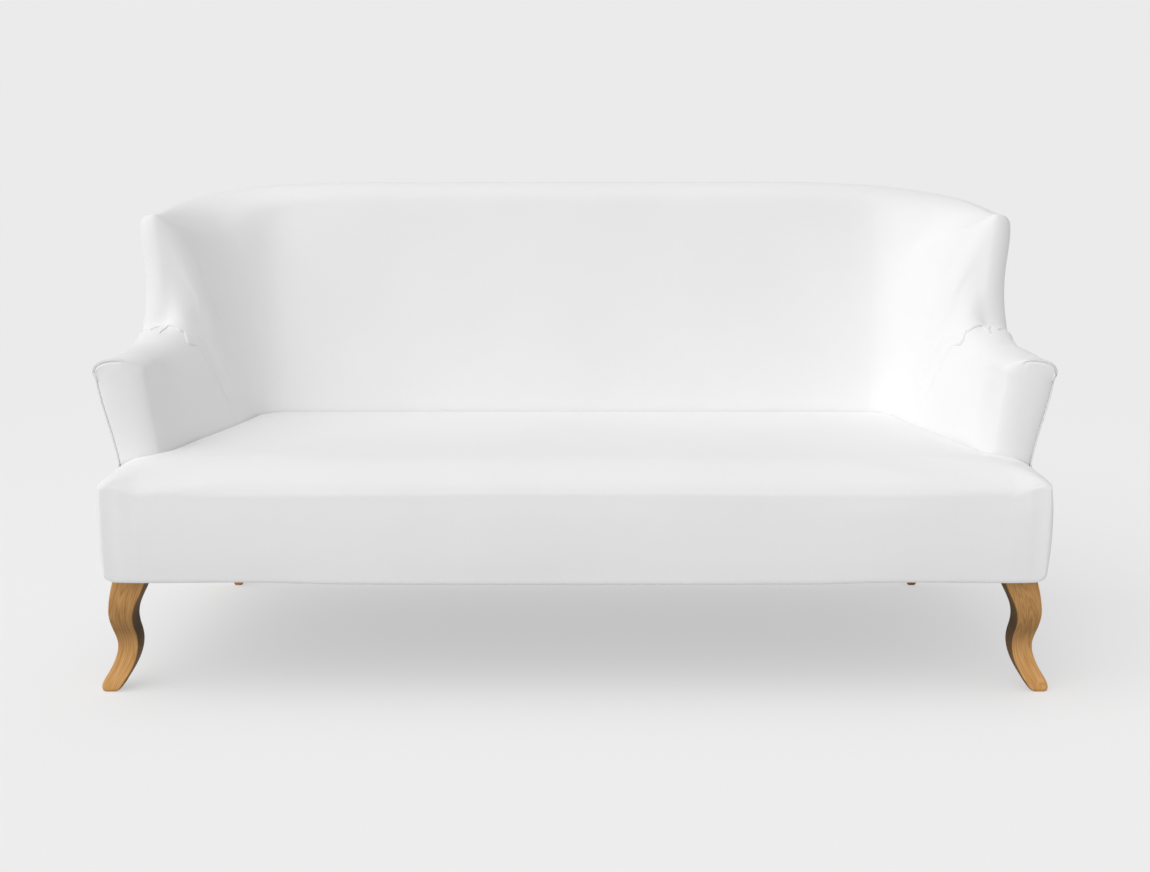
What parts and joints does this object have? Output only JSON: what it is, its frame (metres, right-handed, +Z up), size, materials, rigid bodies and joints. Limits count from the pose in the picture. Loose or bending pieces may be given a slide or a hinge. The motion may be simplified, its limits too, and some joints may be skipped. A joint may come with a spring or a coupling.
{
  "type": "cabriole sofa",
  "caption": "Tight-upholstered sofa: back wrapping into wings, slim splayed arms, T-shaped sprung seat and carved cabriole legs in oak.",
  "frame": {"origin": "on the floor, under the middle of the sofa's box", "axes": "+X to the right as seen from the front, along the sofa; +Y to the back; +Z up"},
  "size_m": [1.9188, 0.86, 0.98],
  "materials": {
    "cover_fabric": "matte",
    "cambric": "matte",
    "foam": "matte",
    "felt": "matte",
    "frame_timber": "matte",
    "webbing": "matte",
    "spring_steel": "satin",
    "oak": "satin",
    "zinc_steel": "satin"
  },
  "bodies": {
    "root": {"seat_cover": "cover_fabric", "inside_back_cover": "cover_fabric", "arm_cover_left": "cover_fabric", "arm_cover_right": "cover_fabric", "arm_front_panel_left": "cover_fabric", "arm_front_panel_right": "cover_fabric", "outside_back_panel": "cover_fabric", "outside_side_panel_left": "cover_fabric", "outside_side_panel_right": "cover_fabric", "dust_cover": "cambric", "seat_foam": "foam", "back_foam": "foam", "arm_foam_left": "foam", "arm_foam_right": "foam", "seat_spring_pad": "felt", "front_seat_rail": "frame_timber", "side_seat_rail_left": "frame_timber", "side_seat_rail_right": "frame_timber", "rear_seat_rail": "frame_timber", "seat_centre_rail": "frame_timber", "back_base_rail": "frame_timber", "front_corner_block_left": "frame_timber", "front_corner_block_right": "frame_timber", "rear_corner_block_left": "frame_timber", "rear_corner_block_right": "frame_timber", "arm_front_post_left": "frame_timber", "arm_front_post_right": "frame_timber", "arm_top_rail_left": "frame_timber", "arm_top_rail_right": "frame_timber", "wing_board_left": "frame_timber", "wing_board_right": "frame_timber", "back_tack_rail": "frame_timber", "back_top_rail": "frame_timber", "back_rib_1": "frame_timber", "back_rib_2": "frame_timber", "back_rib_3": "frame_timber", "back_rib_4": "frame_timber", "corner_rail_left": "frame_timber", "corner_rail_right": "frame_timber", "back_strap_1": "webbing", "back_strap_2": "webbing", "back_strap_3": "webbing", "seat_spring_1": "spring_steel", "seat_spring_2": "spring_steel", "seat_spring_3": "spring_steel", "seat_spring_4": "spring_steel", "seat_spring_5": "spring_steel", "seat_spring_6": "spring_steel", "seat_spring_7": "spring_steel", "seat_spring_8": "spring_steel", "seat_spring_9": "spring_steel", "front_leg_left": "oak", "front_leg_right": "oak", "rear_leg_left": "oak", "rear_leg_right": "oak", "front_leg_bolt_left": "zinc_steel", "front_leg_bolt_right": "zinc_steel", "rear_leg_bolt_left": "zinc_steel", "rear_leg_bolt_right": "zinc_steel"}
  },
  "joints": []
}
